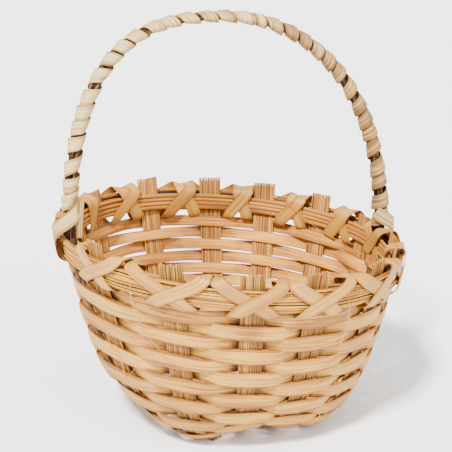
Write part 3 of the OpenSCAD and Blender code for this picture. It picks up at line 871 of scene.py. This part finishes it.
def lashing(name, node, d, way, seed):
    """A strip wound once round the rim for each stake, d mm off its bundles, to the left or right."""
    build = Build()
    points, normals, share = lash_outline(d)
    r = rng(seed)
    path, out, width = [], [], []
    for i in range(STAKES):
        k = i if way > 0 else STAKES - 1 - i
        start, end = lash_foot(k, way), lash_foot((k + way) % STAKES, way)
        top = turn_to(start, lash_peak(k if way > 0 else (k - 1) % STAKES, way))
        end = turn_to(top, end)
        top += math.degrees(r.normal(0, LASH_UNEVEN) / RIM_R)
        degrees = np.where(share <= 1, start + (top - start) * gentle(share),
                           top + (end - top) * gentle(share - 1))
        gap = RIM_R * math.radians(space(k if way > 0 else (k - 1) % STAKES)) - SPLINT_W
        full = LASH_W + 0.25 * r.normal()
        tight = min(full, max(LASH_TIGHT, gap - LASH_ROOM))
        for p, nrm, s, deg in zip(points, normals, share, degrees):
            a = math.radians(deg)
            path.append([p[0] * math.cos(a), p[0] * math.sin(a), p[1]])
            out.append([nrm[0] * math.cos(a), nrm[0] * math.sin(a), nrm[1]])
            free = math.sin(math.pi * (s if s <= 1 else s - 1))
            low = LASH_TUCKED if (s < 0.06 or s > 1.9) else tight
            width.append(low + (full - low) * max(0, free))
    path = lean(np.array(path), 1.0)
    out = np.array(out)
    tone = 0.5 + 0.08 * wander(seed, np.arange(len(path)) * 1.0, float(len(path)), 16)
    ahead = unit(np.roll(path, -1, 0) - np.roll(path, 1, 0))
    side = unit(np.cross(out, ahead))
    for _ in range(3):
        side = unit(np.roll(side, 1, 0) + 2 * side + np.roll(side, -1, 0))
    out = unit(np.cross(ahead, side))
    width = np.array(width)
    for _ in range(4):
        width = (np.roll(width, 1) + 2 * width + np.roll(width, -1)) / 4
    build.ribbon(path, side, out, width, LASH_T, 0.12, closed=True, across=7, tone=tone,
                 shift=seed * 13.0)
    return build.done(name, LASHING, "lashing", node)


# ---- Handle ----

def arch(t):
    """The middle of the handle's bundle at t degrees, from the right foot up and over to the left one."""
    a = np.radians(t)
    c, s = np.cos(a), np.sin(a)
    return np.stack([ARCH_W * np.sign(c) * np.abs(c) ** ARCH_ROUND + ARCH_SHIFT * s * s, ARCH_LEAN * s,
                     ARCH_BASE + ARCH_H * np.abs(s) ** ARCH_PEAK], -1)


def arch_frame(t):
    ahead = unit(arch(t - 0.5) - arch(t + 0.5))
    across = unit(np.array([0.0, 1.0, 0.0]) - ahead * ahead[..., 1:2])
    return across, np.cross(ahead, across)


def bundle_angle(t):
    """How far the three canes are folded from a flat row towards a triangle."""
    a = np.radians(t)
    return np.radians((FOLD_TOP + FOLD_FOOT * np.abs(np.cos(a))) * np.minimum(1, FOLD_START * np.sin(a)))


def cane_size(t):
    return CANE_D * (1 - TOP_SLIM + TOP_SLIM * np.abs(np.cos(np.radians(t))))


def cane_place(i, t, angle):
    pitch = cane_size(t) + CANE_GAP
    if i == 2:
        return 0 * pitch, pitch * np.sin(angle) * 2 / 3
    return (i - 2) * pitch * np.cos(angle), -pitch * np.sin(angle) / 3


ARCH_T = np.linspace(ARCH_ENDS[1], ARCH_ENDS[0], 400)
ARCH_RUN = np.concatenate([[0], np.cumsum(np.linalg.norm(np.diff(arch(ARCH_T), axis=0), axis=1))])


def cane(i):
    build = Build()
    lowest = ROW_R[CANE_ROWS - 1]
    radii = np.concatenate([[along(lowest, -CANE_BELOW)], np.linspace(lowest, RIM_R, 24)])
    parts, sides, outs, sizes = [], [], [], []
    for foot, hand, order in ((1, -1, radii), (0, 1, radii[::-1])):
        if foot == 0:
            t = np.linspace(ARCH_ENDS[1], ARCH_ENDS[0], 90)
            across, outwards = arch_frame(t)
            x, y = cane_place(i, t, bundle_angle(t))
            parts.append(arch(t) + across * x[:, None] + outwards * y[:, None])
            sides.append(across)
            outs.append(outwards)
            sizes.append(cane_size(t))
        degrees = foot_dir(foot, order)
        normal, side, _ = wall_frame(order, degrees)
        foot_size = CANE_D * (1 - FOOT_SLIM + FOOT_SLIM * smooth((order - FAN_R) / (RIM_R - FAN_R)))
        x = (i - 2) * (foot_size + CANE_GAP)
        parts.append(spot(order, degrees, 0.0) + side * (x * hand)[:, None])
        sides.append(side * hand)
        outs.append(normal)
        sizes.append(foot_size)
    path = np.concatenate(parts)
    n = len(path)
    x = np.arange(n) * 1.0
    size = np.concatenate(sizes) * (1 + 0.04 * wander(40 + i, x, n, 12))
    tone = CANE_TONE + 0.08 * wander(50 + i, x, n, 10) + FOOT_LIGHTER * (path[:, 2] < FOOT_TOP)
    build.rod(path, np.concatenate(sides), np.concatenate(outs), size, size, sides=10,
              tone=tone, shift=i * 11.0)
    return build.done(f"cane_{i}", CANE, "cane", f"handle_cane_{i}")


def wrap():
    build = Build()
    r = rng(21)
    turns = int((ARCH_RUN[-1] + WRAP_BELOW - WRAP_START) / WRAP_PITCH)
    turn = np.arange(turns * WRAP_SIDES + 1) / WRAP_SIDES
    shifts = PITCH_UNEVEN * r.normal(size=turns + 2)
    middle = WRAP_START + turn * WRAP_PITCH + np.interp(turn, np.arange(turns + 2), shifts)
    widths = WRAP_W + WIDTH_UNEVEN * r.normal(size=turns + 2)
    width = np.interp(turn, np.arange(turns + 2), widths)
    height = arch(ARCH_T)[:, 2]
    for way, z, push in WRAP_GAPS:
        leg = (ARCH_T > 90) == (way < 0)
        gap = ARCH_RUN[leg][np.argmin(np.abs(height[leg] - z))]
        away = turn - round(float(np.interp(gap, middle, turn)))
        middle = middle + push * np.tanh(GAP_SHARP * away) * np.exp(-(away / GAP_SPREAD) ** 2)
    angle = 2 * math.pi * turn
    slack = WRAP_SLACK * wander(22, turn, turns, 12) + END_SLACK * smooth((middle - middle[-1] + 24) / 10)

    def at(run):
        t = np.interp(run, ARCH_RUN, ARCH_T)
        across, outwards = arch_frame(t)
        b = bundle_angle(t)
        layer = cane_size(t) / 2 + WRAP_CLEAR + slack
        pitch_t = cane_size(t) + CANE_GAP
        centre = arch(t) + outwards * (pitch_t * np.sin(b) / 6)[:, None]
        centre = centre - UP * np.maximum(0, run - ARCH_RUN[-1])[:, None]
        x = np.cos(angle) * (pitch_t * np.cos(b) + layer + 0.15)
        y = np.sin(angle) * (pitch_t * np.sin(b) / 2 + layer)
        return centre + across * x[:, None] + outwards * y[:, None], centre

    path, centre = at(middle)
    low, _ = at(middle - width / 2)
    high, _ = at(middle + width / 2)
    side = unit(high - low)
    ahead = np.gradient(path, axis=0)
    out = unit(np.cross(unit(ahead), side))
    out *= np.sign((out * (path - centre)).sum(1, keepdims=True))
    square = unit(np.cross(out, unit(ahead)))
    square *= np.sign((square * side).sum(1, keepdims=True))
    side = unit(square * 0.4 + side * 0.6)
    side = unit(side + out * WRAP_TILT)
    out = unit(out - side * WRAP_TILT)
    tone = WRAP_TONE + 0.08 * np.interp(turn, np.arange(turns + 2), r.normal(size=turns + 2))
    # Lighter on the left leg, partly a painted highlight, and browner on the right leg
    tone = tone - WRAP_LEFT_HIGHLIGHT_RIGHT_BROWN * path[:, 0] / ARCH_W
    build.ribbon(path, side, out, width, WRAP_T, WRAP_CUP, across=7, tone=tone, shift=5.0)
    for seed, (end_width, axis, points) in enumerate(WRAP_ENDS):
        leg_ribbon(build, points, axis, end_width, 60.0 + seed * 9)
    return build.done("wrap_strip", WRAP, "wrap", "handle_wrap")


def curve(points, count):
    """A smooth line through points, count steps long."""
    points = np.array(points, float)
    place = np.concatenate([[0], np.cumsum(np.linalg.norm(np.diff(points, axis=0), axis=1))])
    t = np.linspace(0, place[-1], count)
    line = np.stack([np.interp(t, place, points[:, c]) for c in range(points.shape[1])], -1)
    for _ in range(max(2, count // 5)):
        line[1:-1] = (line[:-2] + 2 * line[1:-1] + line[2:]) / 4
    return line


def leg_ribbon(build, points, axis, width, shift):
    """A loose strip winding round a leg of the handle."""
    path = curve(points, 30)
    ahead = unit(np.gradient(path, axis=0))
    out = path - np.array([*axis, 0.0])
    out[:, 2] = 0
    out = unit(out - ahead * (out * ahead).sum(1, keepdims=True))
    build.ribbon(path, np.cross(ahead, out), out, width, WRAP_T, 0.2, across=7, shift=shift)


def fibre(build, points, size, tone):
    """A thin splinter along points, thickest in the middle."""
    path = curve(points, 40)
    ahead = unit(np.gradient(path, axis=0))
    side = unit(np.cross(ahead, UP + 0 * ahead))
    taper = size * (1 - 0.5 * np.linspace(-1, 1, len(path)) ** 2)
    build.rod(path, side, np.cross(side, ahead), taper, taper * 0.7, sides=6, tone=tone)


def wall_points(spots):
    """Points near the wall from (radius, direction, distance out)."""
    return [spot(r, d, out) for r, d, out in spots]


def loose_fibres():
    build = Build()
    for points in LOOSE:
        fibre(build, wall_points(points), LOOSE_D, 0.7)
    r = rng(77)
    for _ in range(SHORT_FIBRES):
        radius, direction = r.uniform(*FIBRE_R), r.uniform(0, 360)
        reach, rise = r.uniform(*FIBRE_REACH), r.normal(0, 2.0)
        face = 1 if r.random() < OUTSIDE_SHARE else -1
        out = face * SKIN
        lifted = out + face * r.uniform(*FIBRE_LIFT)
        turn = math.degrees(reach / radius)
        fibre(build, wall_points([(radius, direction, out - face * FIBRE_SUNK),
                                  (radius + rise * 0.3, direction + turn * 0.5, lifted),
                                  (radius + rise, direction + turn, out + face * FIBRE_FREE)]),
              r.uniform(*FIBRE_D), 0.6)
    fibre(build, [lean(np.array([*polar(radius, direction), z]), 1.0) for radius, direction, z in RIM_FIBRE],
          RIM_FIBRE_D, 0.5)
    build.done("loose_fibres", LASHING, "weaver")


def floor_tail():
    """The end of the first weaver, tucked under the floor and showing at the front."""
    build = Build()
    path = curve([(*polar(radius, direction), z) for radius, direction, z in TAIL], 14)
    ahead = unit(np.gradient(path, axis=0))
    up = np.tile(UP, (len(path), 1))
    build.ribbon(path, np.cross(ahead, up), -up, TAIL_W, TAIL_T, tone=0.55)
    build.done("floor_tail", WEATHERED, "weaver")


# ---- Everything ----

for row in range(1, ROWS + 1):
    weaver(row)
for i in range(1, 5):
    splint(f"long_splint_{i}", (i - 3) % STAKES, f"splint_long_{i}", 60 + i)
    splint(f"cross_splint_{i}", i + 1, f"splint_cross_{i}", 70 + i)
rim()
lashing("lashing_under", "rim_lashing_under", LASH_OUT[0], -1, 31)
lashing("lashing_over", "rim_lashing_over", LASH_OUT[1], 1, 32)
for i in (1, 2, 3):
    cane(i)
wrap()
loose_fibres()
floor_tail()


# ---- Stage, light and camera ----

def simple_material(name, colour, rough):
    m = bpy.data.materials.new(name)
    m.use_nodes = True
    shader = m.node_tree.nodes["Principled BSDF"]
    shader.inputs["Base Color"].default_value = (*colour, 1)
    shader.inputs["Roughness"].default_value = rough
    return m


bpy.ops.mesh.primitive_plane_add(size=STAGE_SIZE, location=(0, 0, 0))
floor = bpy.context.object
floor.name = "stage_floor"
floor.data.materials.append(simple_material("pale_floor", (0.9, 0.9, 0.9), 0.8))

world = bpy.data.worlds.new("studio")
bpy.context.scene.world = world
world.use_nodes = True
world.node_tree.nodes["Background"].inputs[0].default_value = (1, 1, 1, 1)
world.node_tree.nodes["Background"].inputs[1].default_value = WORLD_LIGHT


def towards(turn, rise):
    """Unit vector from the object to a place turn degrees round and rise degrees up."""
    turn, rise = math.radians(turn), math.radians(rise)
    return Vector((math.sin(turn) * math.cos(rise), -math.cos(turn) * math.cos(rise), math.sin(rise)))


def sun_light(name, turn, rise, power, spread):
    """A soft lamp far away at turn and rise degrees."""
    light = bpy.data.lights.new(name, "SUN")
    light.energy = power
    light.angle = math.radians(spread)
    lamp = bpy.data.objects.new(name, light)
    bpy.context.scene.collection.objects.link(lamp)
    lamp.rotation_euler = (-towards(turn, rise)).to_track_quat("-Z", "Y").to_euler()


for lamp_values in SUNS:
    sun_light(*lamp_values)

rim_centre = Vector((0, 0, (FLOOR_MID + WALL_H) * MM))
back = towards(CAMERA_TURN, CAMERA_RISE)
camera_data = bpy.data.cameras.new("camera")
camera_data.sensor_width = 36
camera_data.lens = LENS
camera_data.shift_x = SHIFT_X
camera_data.shift_y = SHIFT_Y
camera = bpy.data.objects.new("camera", camera_data)
camera.location = rim_centre + back * CAMERA_FAR
camera.rotation_euler = (-back).to_track_quat("-Z", "Y").to_euler()
bpy.context.scene.collection.objects.link(camera)
bpy.context.scene.camera = camera
